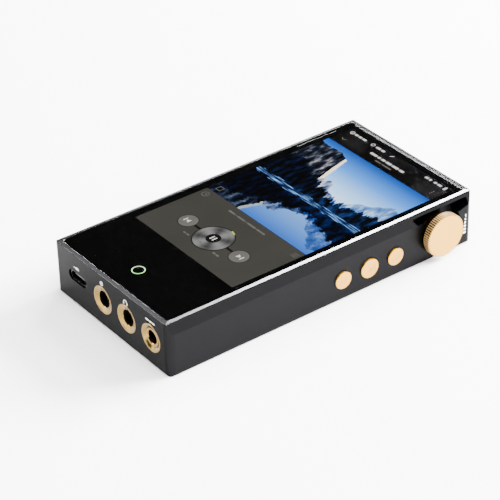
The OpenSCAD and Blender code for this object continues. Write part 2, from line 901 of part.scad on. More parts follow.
module encoder_plunger() {
    color("#2f6f9c") bar_x(plunger_x, plunger_x + plunger_t, knob_y, knob_z, plunger_r);
}

module encoder_body() {
    color("#3b4a40") difference() {
        union() {
            block(
                [encoder_x, knob_y - encoder_w / 2, knob_z - encoder_h / 2],
                [boss_x, knob_y + encoder_w / 2, knob_z + encoder_h / 2]
            );
            bar_x(boss_x, bush_end, knob_y, knob_z, bush_r);
        }
        bar_x(encoder_x + 1, shaft_x0, knob_y, knob_z, plunger_r + running_gap);
        bar_x(shaft_x0, bush_end + 1, knob_y, knob_z, shaft_r + running_gap);
    }
}

module encoder_nut() {
    color("#b9a26a") difference() {
        translate([scoop_x, knob_y, knob_z]) rotate([0, 90, 0]) cylinder(h = nut_t, r = nut_r, $fn = 6);
        bar_x(scoop_x - 1, scoop_x + nut_t + 1, knob_y, knob_z, bush_r + socket_gap);
    }
}

module encoder_board() {
    color("#14402c") block(
        [encoder_x - pcb_t, knob_y - encoder_w / 2 - 1, knob_z - encoder_h / 2 - 0.5],
        [encoder_x, knob_y + encoder_w / 2 + 1, knob_z + encoder_h / 2]
    );
}

// ---- keys ----

module key_icon(kind, r) {
    s = r * 0.3;
    if (kind == 0) {
        polygon([[-s, 0], [s * 0.6, s], [s * 0.6, -s]]);
        translate([-s * 1.5, -s]) square([s * 0.3, 2 * s]);
    }
    if (kind == 1) {
        polygon([[s, 0], [-s * 0.6, s], [-s * 0.6, -s]]);
        for (k = [0, 1]) translate([s * (1.2 + 0.55 * k), -s]) square([s * 0.3, 2 * s]);
    }
    if (kind == 2) {
        polygon([[s, 0], [-s * 0.6, s], [-s * 0.6, -s]]);
        translate([s * 1.2, -s]) square([s * 0.3, 2 * s]);
    }
}

module side_key(i) {
    r = key_radius[i];
    back = flange_x - flange_t;
    face = hw + key_proud;
    color("#f0d8b4") difference() {
        turned_x(back, key_y[i], key_z, [
            [0, 0], [r + flange_w, 0], [r + flange_w, flange_t], [r, flange_t],
            [r, face - back - 0.18], [r - 0.18, face - back], [0, face - back]
        ]);
        along_x(face - 0.06, face + 1) translate([key_y[i], key_z]) key_icon(i, r);
    }
}

module previous_key() {
    side_key(0);
}

module play_key() {
    side_key(1);
}

module next_key() {
    side_key(2);
}

module key_board() {
    color("#14402c") difference() {
        block(
            [keyboard_x, key_y[0] - 4.6, keyboard_z0],
            [keyboard_x + pcb_t, key_y[2] + 4.6, main_top]
        );
        for (y = key_screw_y) bar_x(keyboard_x - 1, hw, y, key_screw_z, board_shank_r + 0.1);
    }
}

module key_switches() {
    color("#d0d2d4") for (y = key_y) {
        block([keyboard_x + pcb_t, y - 2.25, key_z - 2.25], [switch_x, y + 2.25, key_z + 2.25]);
        bar_x(switch_x, switch_tip, y, key_z, 1.1);
    }
}

module key_screws() {
    color("#a7a8aa") for (y = key_screw_y)
        translate([keyboard_x - 0.7, y, key_screw_z]) rotate([0, 90, 0])
            screw_up(1.25, 0.7, board_shank_r, pcb_t + 2.4, false);
}

frame();
front_glass();
border_film();
touch_sensor();
lcd_panel();
backlight();
screen_plate();
screen_flex();
halo_guide();
halo_board();
halo_led();
rear_cover();
rear_screws();
battery();
battery_pad();
battery_plug();
main_board();
main_screws();
processor();
processor_shield();
thermal_pad();
memory_chips();
wireless_module();
antenna_strip();
audio_board();
audio_screws();
dac_chips();
amp_chips();
audio_capacitors();
clock_cans();
link_flex();
usb_board();
usb_shell();
usb_tongue();
line_socket();
phones_socket();
balanced_socket();
line_ring();
phones_ring();
balanced_ring();
balanced_sleeve();
socket_pins();
card_socket();
volume_knob();
encoder_shaft();
encoder_plunger();
encoder_body();
encoder_nut();
encoder_board();
previous_key();
play_key();
next_key();
key_board();
key_switches();
key_screws();
volume_marks();
socket_marks();
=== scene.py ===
"""Pocket music player lying on its back on a white table, seen from its socket end and knob side."""
import math

import bpy
from mathutils import Matrix, Vector


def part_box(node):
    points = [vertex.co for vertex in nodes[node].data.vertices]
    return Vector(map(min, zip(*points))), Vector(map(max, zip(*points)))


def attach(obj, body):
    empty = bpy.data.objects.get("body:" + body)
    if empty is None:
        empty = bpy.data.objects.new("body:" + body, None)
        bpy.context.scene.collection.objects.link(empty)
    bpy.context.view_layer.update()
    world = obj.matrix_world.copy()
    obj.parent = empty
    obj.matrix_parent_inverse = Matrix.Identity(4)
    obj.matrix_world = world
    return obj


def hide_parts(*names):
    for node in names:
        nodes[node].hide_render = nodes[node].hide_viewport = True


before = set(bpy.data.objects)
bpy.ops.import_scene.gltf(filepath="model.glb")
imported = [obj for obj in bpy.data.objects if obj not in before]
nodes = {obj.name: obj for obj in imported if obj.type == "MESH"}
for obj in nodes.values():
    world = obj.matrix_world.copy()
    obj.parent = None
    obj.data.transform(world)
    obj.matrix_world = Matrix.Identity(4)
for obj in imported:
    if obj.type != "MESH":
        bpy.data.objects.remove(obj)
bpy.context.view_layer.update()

MM = 0.001


# ---- camera and lights ----

# where the lens stands round the player, and how far it is rolled on its own axis
AZIMUTH, ELEVATION, ROLL = (math.radians(a) for a in (53.04, 32.77, -1.19))
DISTANCE = 0.6734
AIM_HEIGHT = 10 * MM
LENS = 151.32
SHIFT_X, SHIFT_Y = -0.03336, -0.02394


def aim_camera():
    """Long lens, looking down 33 degrees at the corner between the sockets and the knob side."""
    level = math.cos(ELEVATION)
    back = Vector((math.sin(AZIMUTH) * level, -math.cos(AZIMUTH) * level, math.sin(ELEVATION)))
    right = (-back).cross(Vector((0, 0, 1))).normalized()
    up = right.cross(-back)
    across = right * math.cos(ROLL) + up * math.sin(ROLL)
    upright = up * math.cos(ROLL) - right * math.sin(ROLL)
    lens = bpy.data.cameras.new("camera")
    lens.sensor_width = 36
    lens.lens = LENS
    lens.shift_x = SHIFT_X
    lens.shift_y = SHIFT_Y
    lens.clip_start = 0.01
    camera = bpy.data.objects.new("camera", lens)
    bpy.context.scene.collection.objects.link(camera)
    place = Matrix.Translation(Vector((0, 0, AIM_HEIGHT)) + back * DISTANCE)
    camera.matrix_world = place @ Matrix((across, upright, back)).transposed().to_4x4()
    bpy.context.scene.camera = camera


def soft_light(name, place, towards, size, watts, mirrored=True):
    """A large diffuser panel; one that isn't mirrored lights the table but makes no glare."""
    lamp = bpy.data.lights.new(name, "AREA")
    lamp.shape = "RECTANGLE"
    lamp.size, lamp.size_y = size
    lamp.energy = watts
    light = bpy.data.objects.new(name, lamp)
    bpy.context.scene.collection.objects.link(light)
    light.location = place
    light.rotation_euler = (Vector(towards) - Vector(place)).to_track_quat("-Z", "Y").to_euler()
    light.visible_camera = False
    light.visible_glossy = mirrored


aim_camera()
MIDDLE = (0, 0, 0)
# the table's light, and the soft shadow towards the sockets
soft_light("far_high_panel", (-0.5, 0.74, 0.8), (-0.5, 0.74, 0), (0.36, 0.36), 34)
soft_light("far_low_panel", (0.25, 1.25, 0.55), MIDDLE, (1.0, 0.6), 330, mirrored=False)
soft_light("overhead_panel", (0.35, -0.1, 1.3), MIDDLE, (0.9, 0.9), 60)
# the sheen on the knob's side and on the socket end
soft_light("crease_panel", (0.42, 0.5, 0.8), MIDDLE, (0.3, 0.3), 8)
soft_light("knob_side_panel", (1.3, 0.75, 0.2), (0, 0, 0.05), (1.1, 0.35), 10)
soft_light("near_left_panel", (-0.62, -0.5, 0.45), MIDDLE, (0.4, 0.3), 6)
soft_light("socket_end_panel", (-0.9, -0.75, 0.3), MIDDLE, (0.5, 0.4), 5)
# thin cards that only the polished rim picks up
soft_light("near_rim_card", (-0.86, 0.3, 0.8), (-0.86, 0.3, 0), (0.24, 0.1), 0.15)
soft_light("left_rim_card", (-1.15, 0.72, 0.46), MIDDLE, (0.3, 0.12), 0.4)


# ---- making materials ----

def linear(colour):
    """An sRGB hex colour as linear red, green, blue and alpha."""
    parts = [int(colour[i:i + 2], 16) / 255 for i in (1, 3, 5)]
    return tuple(c / 12.92 if c < 0.04045 else ((c + 0.055) / 1.055) ** 2.4 for c in parts) + (1,)


def add(tree, kind, inputs=(), stops=(), **settings):
    """Adds a node with its settings; each input is a value to set or an output to link.

    stops are the places and hex colours of a ramp, its two ends first.
    """
    made = tree.nodes.new("ShaderNode" + kind)
    for name, value in settings.items():
        setattr(made, name, value)
    for k, (where, colour) in enumerate(stops):
        ramp = made.color_ramp.elements
        stop = ramp[k] if k < 2 else ramp.new(where)
        stop.position, stop.color = where, linear(colour)
    for name, value in (inputs.items() if isinstance(inputs, dict) else enumerate(inputs)):
        if isinstance(value, bpy.types.NodeSocket):
            tree.links.new(value, made.inputs[name])
        else:
            made.inputs[name].default_value = value
    return made


def surface(name, **sockets):
    """A new material with one Principled shader: the material, its tree, the shader, its place."""
    material = bpy.data.materials.new(name)
    material.use_nodes = True
    tree = material.node_tree
    tree.nodes.clear()
    values = {key.replace("_", " "): value for key, value in sockets.items()}
    shader = add(tree, "BsdfPrincipled", values, name="finish")
    add(tree, "OutputMaterial", [shader.outputs[0]])
    return material, tree, shader, add(tree, "TexCoord").outputs["Object"]


def finish(tree, shader, tone, dark, light, grain, rough, relief):
    """Links a pattern to a shader: tone to its colour, grain to its gloss and its relief."""
    colour = add(tree, "Mix", {0: tone, 6: linear(dark), 7: linear(light)}, data_type="RGBA")
    tree.links.new(colour.outputs[2], shader.inputs["Base Color"])
    gloss = add(tree, "MapRange", [grain, 0.2, 0.8, *rough]).outputs[0]
    tree.links.new(gloss, shader.inputs["Roughness"])
    strength, depth_mm = relief
    bump = {"Height": grain, "Strength": strength, "Distance": depth_mm * MM}
    tree.links.new(add(tree, "Bump", bump, name="relief").outputs[0], shader.inputs["Normal"])


# slow clouding of a finish: patches about 17 mm across
CLOUDING = 60.0


def grained(name, dark, light, grain_mm, rough, bump_mm, stretch=(1, 1, 1), **sockets):
    """A finish with one size of grain: two close colours, uneven gloss and a fine relief."""
    material, tree, shader, place = surface(name, **sockets)
    drawn = add(tree, "Mapping", {"Vector": place, "Scale": stretch}).outputs[0]
    fine, broad = (
        add(tree, "TexNoise", {"Vector": drawn, "Scale": scale, "Detail": detail}).outputs[0]
        for scale, detail in ((1 / (grain_mm * MM), 3.0), (CLOUDING, 2.0))
    )
    mixed = add(tree, "Mix", [0.4, (0, 0, 0), fine, broad]).outputs[0]
    finish(tree, shader, mixed, dark, light, fine, rough, (0.5, bump_mm))
    return material


# one ring of the wave texture at scale 1, in metres, and grit of 0.4 mm
WAVE = 0.314
GRIT = 2500.0


def turned(name, dark, light, axis, centre, pitch_mm, rough, bump_mm, **sockets):
    """Anodised metal faced on a lathe: fine rings around one axis."""
    material, tree, shader, place = surface(name, **sockets)
    centred = add(tree, "VectorMath", [place, centre], operation="SUBTRACT").outputs[0]
    waves = {
        "Vector": centred, "Scale": WAVE / (pitch_mm * MM), "Distortion": 1.5, "Detail Scale": 3.0,
    }
    rings = add(tree, "TexWave", waves, wave_type="RINGS", rings_direction=axis).outputs[1]
    grit = add(tree, "TexNoise", {"Vector": centred, "Scale": GRIT, "Detail": 2.0}).outputs[0]
    mixed = add(tree, "Mix", [0.5, (0, 0, 0), rings, grit]).outputs[0]
    finish(tree, shader, mixed, dark, light, mixed, rough, (0.4, bump_mm))
    return material


# a lit patch has no colour or gloss of its own, and the screen's contrast is steeper than paint's
SCREEN = {"Base_Color": (0, 0, 0, 1), "Roughness": 0.4, "Specular_IOR_Level": 0.0}
SCREEN_GAMMA = 1.35


def lit(name, dark, light, strength, cloud_mm=3.0):
    """A patch of lit screen: flat light with the faint unevenness of a backlight."""
    material, tree, shader, place = surface(name, **SCREEN, Emission_Strength=strength)
    cloud = add(tree, "TexNoise", {"Vector": place, "Scale": 1 / (cloud_mm * MM), "Detail": 1.0})
    tones = {0: cloud.outputs[0], 6: linear(dark), 7: linear(light)}
    colour = add(tree, "Mix", tones, data_type="RGBA").outputs[2]
    deep = add(tree, "Gamma", [colour, SCREEN_GAMMA]).outputs[0]
    tree.links.new(deep, shader.inputs["Emission Color"])
    return material


def wear(piece, material):
    """Gives a piece or a CAD node one material."""
    piece.data.materials.clear()
    piece.data.materials.append(material)


# ---- finishes of the case, controls and sockets ----

def recolour(tree, mask, colour):
    """Lays a colour over a finish where the mask is 1."""
    base = tree.nodes["finish"].inputs["Base Color"]
    layers = {0: mask, 6: base.links[0].from_socket, 7: linear(colour)}
    tree.links.new(add(tree, "Mix", layers, data_type="RGBA").outputs[2], base)


def regloss(tree, mask, roughness):
    """Gives a finish another roughness where the mask is 1."""
    present = tree.nodes["finish"].inputs["Roughness"]
    mixed = add(tree, "Mix", [mask, (0, 0, 0), present.links[0].from_socket, roughness])
    tree.links.new(mixed.outputs[0], present)


# the knurl: how far below the ridges the painted groove shade is full and where it ends, and its front
# edge
GROOVE_FULL, GROOVE_END, KNURL_FRONT = 0.3 * MM, 0.08 * MM, 0.05 * MM


def paint_groove_shade(material, centre, radius, front):
    """Paints shade on the floor of a knurl as a dark brown, gives its teeth a paler gold and roughens
    them.
    """
    tree = material.node_tree
    place = add(tree, "TexCoord").outputs["Object"]
    flat = add(tree, "VectorMath", [place, centre], operation="SUBTRACT").outputs[0]
    flat = add(tree, "VectorMath", [flat, (0, 1, 1)], operation="MULTIPLY").outputs[0]
    reach = add(tree, "VectorMath", [flat], operation="LENGTH").outputs[1]
    floor = [reach, radius - GROOVE_FULL, radius - GROOVE_END, 1.0, 0.0]
    inside = add(tree, "MapRange", floor).outputs[0]
    along = add(tree, "SeparateXYZ", [place]).outputs[0]
    knurl = add(tree, "Math", [along, front - KNURL_FRONT], operation="LESS_THAN").outputs[0]
    groove_shade = add(tree, "Math", [inside, knurl], operation="MULTIPLY").outputs[0]
    recolour(tree, knurl, "#e2bd80")
    regloss(tree, knurl, 0.5)
    # painted shade: the floors of the grooves are tinted dark brown
    recolour(tree, groove_shade, "#24170a")


# the polished chamfer's depth, and the radius of the case's eased edges
RIM_DEPTH, EDGE_RADIUS = 0.18 * MM, 0.14 * MM


def polish_rim(material, piece):
    """Cuts a bright polished chamfer round the glass and eases the sharp edges of the case."""
    tree = material.node_tree
    place = add(tree, "TexCoord").outputs["Object"]
    top = max(corner[2] for corner in piece.bound_box)
    height = add(tree, "SeparateXYZ", [place]).outputs[2]
    high = add(tree, "Math", [height, top - RIM_DEPTH], operation="GREATER_THAN").outputs[0]
    facing = add(tree, "NewGeometry").outputs["True Normal"]
    facing = add(tree, "SeparateXYZ", [facing]).outputs[2]
    upward = add(tree, "Math", [facing, 0.5], operation="GREATER_THAN").outputs[0]
    rim = add(tree, "Math", [high, upward], operation="MULTIPLY").outputs[0]
    recolour(tree, rim, "#77787a")
    regloss(tree, rim, 0.24)
    relief = tree.nodes["relief"]
    blasted, polished = relief.inputs["Strength"].default_value, 0.02
    smooth = add(tree, "Mix", [rim, (0, 0, 0), blasted, polished]).outputs[0]
    tree.links.new(smooth, relief.inputs["Strength"])
    eased = add(tree, "Bevel", {"Radius": EDGE_RADIUS}, samples=16).outputs[0]
    tree.links.new(eased, relief.inputs["Normal"])


knob_low, knob_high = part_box("volume_knob")
knob_axis = (0, (knob_low.y + knob_high.y) / 2, (knob_low.z + knob_high.z) / 2)

BRIGHT = {"Metallic": 1.0}
# dark anodising is dimmer than bare metal at a glancing angle too
DARK = {"Metallic": 1.0, "Specular_Tint": (0.62, 0.62, 0.62, 1)}
MATT = {"Specular_IOR_Level": 0.0}
# how a noise is drawn out into lines along the player's length, or across it
LENGTHWAYS, LONG_LENGTHWAYS, CROSSWAYS = (1, 0.1, 1), (1, 0.05, 1), (0.1, 1, 1)

# aluminium, bead-blasted and anodised gunmetal: an even satin with a tight sparkle;
# the grit is about 0.1 mm and is drawn at 0.3 mm so that it shows
gunmetal = grained(
    "gunmetal_anodised_aluminium", "#101011", "#161617", 0.3, (0.34, 0.44), 0.005, **DARK
)
polish_rim(gunmetal, nodes["frame"])
# aluminium, turned and anodised champagne gold: pale, warm, with rings at 0.3 mm
knob_metal = turned(
    "champagne_anodised_knob", "#b3802e", "#c8963e", "X", knob_axis, 0.3, (0.26, 0.4), 0.004, **BRIGHT
)
# painted shade in the knurl's grooves
paint_groove_shade(knob_metal, knob_axis, knob_axis[2] - knob_low.z, knob_high.x)
# toughened glass: clear, very smooth, with the faintest smears
glass, glass_tree, glass_shader, glass_place = surface(
    "polished_toughened_glass",
    Base_Color=(1, 1, 1, 1), Transmission_Weight=1.0, IOR=1.45, Specular_IOR_Level=0.15,
)
smears = add(glass_tree, "TexNoise", {"Vector": glass_place, "Scale": 45.0, "Detail": 2.0}).outputs[0]
glass_gloss = add(glass_tree, "MapRange", [smears, 0.4, 0.7, 0.0, 0.02]).outputs[0]
glass_tree.links.new(glass_gloss, glass_shader.inputs["Roughness"])

# each grained finish says its dark and light colour, its grain in mm, its lowest and highest
# roughness and its relief in mm
FINISHES = [
    (gunmetal, "frame"),
    # the same metal on the back plate, a shade paler and flatter
    (grained("gunmetal_anodised_back", "#141415", "#1a1a1b", 0.3, (0.42, 0.52), 0.005, **DARK),
     "rear_cover"),
    (knob_metal, "volume_knob"),
    # the knob's champagne gold, bead-blasted on the small keys
    (grained("champagne_anodised_keys", "#b3802e", "#c8963e", 0.25, (0.3, 0.42), 0.004, **BRIGHT),
     "previous_key", "play_key", "next_key"),
    # brass-gold anodised rings, polished in the dish: smoother and deeper in colour
    (grained("gold_anodised_rings", "#7d6330", "#95783f", 0.4, (0.18, 0.3), 0.003, **BRIGHT),
     "line_ring", "phones_ring", "balanced_ring", "balanced_sleeve"),
    (glass, "front_glass"),
    # steel, zinc-plated: cool and bright, with turning marks worn soft
    (grained("zinc_plated_steel", "#7e7f82", "#9a9b9e", 0.3, (0.25, 0.4), 0.003, **BRIGHT),
     "rear_screws", "main_screws", "audio_screws", "key_screws", "encoder_shaft"),
    # steel shell, drawn: a darker grey base than the other drawn steel shells, with lengthways die
    # lines
    (grained("dark_steel_socket_shell", "#3c3d3f", "#4b4c4e", 0.3, (0.2, 0.34), 0.003,
             LENGTHWAYS, **BRIGHT),
     "usb_shell"),
    # stainless steel, deep drawn: bright with lengthways die lines
    (grained("drawn_stainless_shell", "#b4b6b9", "#cdcfd1", 0.3, (0.2, 0.34), 0.003,
             LENGTHWAYS, **BRIGHT),
     "card_socket", "processor_shield", "wireless_module", "clock_cans", "screen_plate"),
    # moulded liquid crystal polymer: near black and dull
    (grained("moulded_black_polymer", "#040405", "#080809", 0.4, (0.7, 0.8), 0.004, **MATT),
     "line_socket", "phones_socket", "balanced_socket", "encoder_body", "encoder_plunger"),
    # the same polymer on the tongue, where plugs have rubbed it silky
    (grained("moulded_black_tongue", "#121214", "#1d1d20", 0.4, (0.3, 0.45), 0.003), "usb_tongue"),
    # epoxy ink filled into shallow grooves: chalky white
    (grained("white_filled_epoxy", "#d8d8d4", "#f2f2ee", 0.3, (0.5, 0.7), 0.003),
     "volume_marks", "socket_marks"),
    # glass-fibre board under green solder mask: glossy with woven relief at 0.6 mm
    (grained("green_solder_mask", "#0d3a20", "#155030", 0.6, (0.2, 0.35), 0.01),
     "main_board", "usb_board", "halo_board", "encoder_board", "key_board"),
    # the audio board's mask is dark blue
    (grained("blue_solder_mask", "#081c38", "#0f2a50", 0.6, (0.2, 0.35), 0.01), "audio_board"),
    # epoxy moulded chips: matt charcoal
    (grained("moulded_epoxy_chips", "#161617", "#222224", 0.3, (0.5, 0.7), 0.005),
     "processor", "memory_chips", "dac_chips", "amp_chips"),
    # aluminium cans in shrunk gold film
    (grained("gold_film_cans", "#b58a3c", "#cda455", 0.8, (0.2, 0.35), 0.003, Metallic=0.8),
     "audio_capacitors"),
    # foil pouch under dark wrap: satin with soft creases at 3 mm
    (grained("wrapped_pouch_cell", "#1a1c22", "#2a2d36", 3.0, (0.3, 0.5), 0.05), "battery"),
    # closed-cell foam: matt and dimpled at 0.5 mm
    (grained("closed_cell_foam", "#242424", "#363636", 0.5, (0.8, 0.95), 0.06), "battery_pad"),
    # soft silicone pad: dull blue-grey and dimpled at 0.5 mm
    (grained("silicone_heat_pad", "#6f7f9c", "#8b9ab4", 0.5, (0.6, 0.8), 0.03), "thermal_pad"),
    # nylon plug: ivory, slightly glossy
    (grained("nylon_plug", "#d8d0b8", "#e8e2ce", 0.5, (0.35, 0.5), 0.005), "battery_plug"),
    # polyimide film over copper: amber with long tracks
    (grained("amber_polyimide", "#8a4f14", "#b5762a", 0.4, (0.2, 0.3), 0.004, LONG_LENGTHWAYS),
     "screen_flex", "link_flex"),
    # rolled copper strip: warm, with faint rolling lines
    (grained("rolled_copper", "#a9683c", "#c98655", 0.3, (0.25, 0.4), 0.003, CROSSWAYS, **BRIGHT),
     "antenna_strip"),
    # tinned contacts and switch lids: pale and bright
    (grained("tinned_contacts", "#b9bcbf", "#d6d8da", 0.3, (0.2, 0.35), 0.003, **BRIGHT),
     "socket_pins", "key_switches"),
    # plated brass nut: soft yellow shine
    (grained("plated_brass_nut", "#a98c4e", "#c6a866", 0.3, (0.25, 0.4), 0.004, **BRIGHT),
     "encoder_nut"),
    # backlight reflector: smooth white sheet
    (grained("white_diffuser", "#d9dcde", "#eceeef", 0.8, (0.5, 0.7), 0.003), "backlight"),
    # milky light guide, lit pale green from below
    (lit("lit_green_guide", "#b8f5a8", "#dcffd0", 3.6), "halo_guide", "halo_led"),
]
for material, *names in FINISHES:
    for name in names:
        wear(nodes[name], material)


# ---- the lit screen ----

# thin layers under the glass, one above another; places and sizes on the screen are in mm
LAYER = 0.008 * MM
LAYERS = 9
BORDER_GAP = 0.01 * MM
VIEW_X, VIEW_LOW, ART_LOW, ART_HIGH = 25.8, -33.0, -4.2, 46.6
STATUS_Y, TITLE_Y, DIAL_Y, SKIP_X = 55.0, 50.2, -20.9, 13.4
SIDES = (-1, 1)

panel_low, panel_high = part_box("lcd_panel")
screen_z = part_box("touch_sensor")[1].z - LAYERS * LAYER


def select_nothing():
    """Nothing selected, so that the next operator acts on its own piece only."""
    bpy.ops.object.select_all(action="DESELECT")


def place_in_mesh():
    """Moves the place, turn and scale of the piece being worked on into its mesh."""
    bpy.ops.object.transform_apply(location=True, rotation=True, scale=True)
    return bpy.context.object


def settle(name, material):
    """Names and paints the piece being worked on, and fixes it to the body."""
    piece = place_in_mesh()
    piece.name = piece.data.name = name
    wear(piece, material)
    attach(piece, "body")
    return piece


def edit_all():
    """Edit mode with the whole mesh selected."""
    bpy.ops.object.mode_set(mode="EDIT")
    bpy.ops.mesh.select_all(action="SELECT")


def chip(sides, x, y, width, length, layer, turn=0.0, corner=0.0):
    """A flat lit patch: 4 sides is a rectangle, 3 an arrowhead, more a disc."""
    select_nothing()
    place = (x * MM, y * MM, screen_z + layer * LAYER)
    spin = (0, 0, math.radians(turn))
    if sides == 4:
        bpy.ops.mesh.primitive_plane_add(size=1, location=place, rotation=spin)
    else:
        bpy.ops.mesh.primitive_circle_add(
            vertices=sides, radius=0.5, fill_type="NGON", location=place, rotation=spin
        )
    bpy.context.object.scale = (width * MM, length * MM, 1)
    made = place_in_mesh()
    edit_all()
    if corner:
        bpy.ops.mesh.bevel(offset=corner * MM, segments=6, affect="VERTICES")
        bpy.ops.mesh.select_all(action="SELECT")
    bpy.ops.mesh.extrude_region_move(TRANSFORM_OT_translate={"value": (0, 0, LAYER * 0.6)})
    bpy.ops.mesh.select_all(action="SELECT")
    bpy.ops.mesh.normals_make_consistent(inside=False)
    bpy.ops.object.mode_set(mode="OBJECT")
    return made


def bar(x, y, width, length, layer, turn=0.0, corner=0.0):
    """A flat lit bar."""
    return chip(4, x, y, width, length, layer, turn, corner)


def hoop(x, y, radius, line, layer):
    """A thin flat ring on the lit screen."""
    select_nothing()
    bpy.ops.mesh.primitive_torus_add(
        location=(x * MM, y * MM, screen_z + (layer + 0.3) * LAYER),
        major_segments=64, minor_segments=8, major_radius=radius * MM, minor_radius=line / 2 * MM,
    )
    bpy.context.object.scale.z = 0.3 * LAYER / (line / 2 * MM)
    return place_in_mesh()


def dashes(x, y, lengths, height, layer, gap=0.45):
    """A row of short rounded dashes that stands for a line of words."""
    made = []
    for length in lengths:
        made.append(bar(x + length / 2, y, length, height, layer, corner=height * 0.3))
        x += length + gap
    return made


def gather(name, material, shapes):
    """Joins flat shapes into one piece of the screen."""
    select_nothing()
    for shape in shapes:
        shape.select_set(True)
    bpy.context.view_layer.objects.active = shapes[0]
    if len(shapes) > 1:
        bpy.ops.object.join()
    piece = settle(name, material)


def make_border():
    """The black border film, a hair below the glass that it is bonded to."""
    select_nothing()
    piece = bpy.data.objects.new("border_print", nodes["border_film"].data.copy())
    bpy.context.scene.collection.objects.link(piece)
    bpy.context.view_layer.objects.active = piece
    piece.select_set(True)
    edit_all()
    bpy.ops.mesh.remove_doubles(threshold=0.0005 * MM)
    bpy.ops.transform.translate(value=(0, 0, -BORDER_GAP))
    bpy.ops.object.mode_set(mode="OBJECT")
    # screen-printed ink: dead black behind the glass
    settle("border_print", grained(
        "black_screen_print", "#010101", "#020202", 0.5, (0.8, 0.9), 0.001, **MATT
    ))
    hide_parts("border_film")


def make_panel():
    """The bonded sensor and liquid crystal panel, one dark glass slab with eased edges."""
    select_nothing()
    low, high = panel_low, Vector((panel_high.x, panel_high.y, screen_z - LAYER))
    bpy.ops.mesh.primitive_cube_add(size=1, location=(low + high) / 2)
    bpy.context.object.scale = high - low
    place_in_mesh()
    edit_all()
    bpy.ops.mesh.bevel(offset=0.15 * MM, segments=2, affect="EDGES")
    bpy.ops.object.mode_set(mode="OBJECT")
    # black-masked panel glass, unlit at its edges: smooth and almost black
    piece = settle("screen_panel", grained(
        "masked_panel_glass", "#020203", "#050507", 1.0, (0.15, 0.25), 0.001, Specular_IOR_Level=0.1
    ))
    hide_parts("lcd_panel", "touch_sensor")


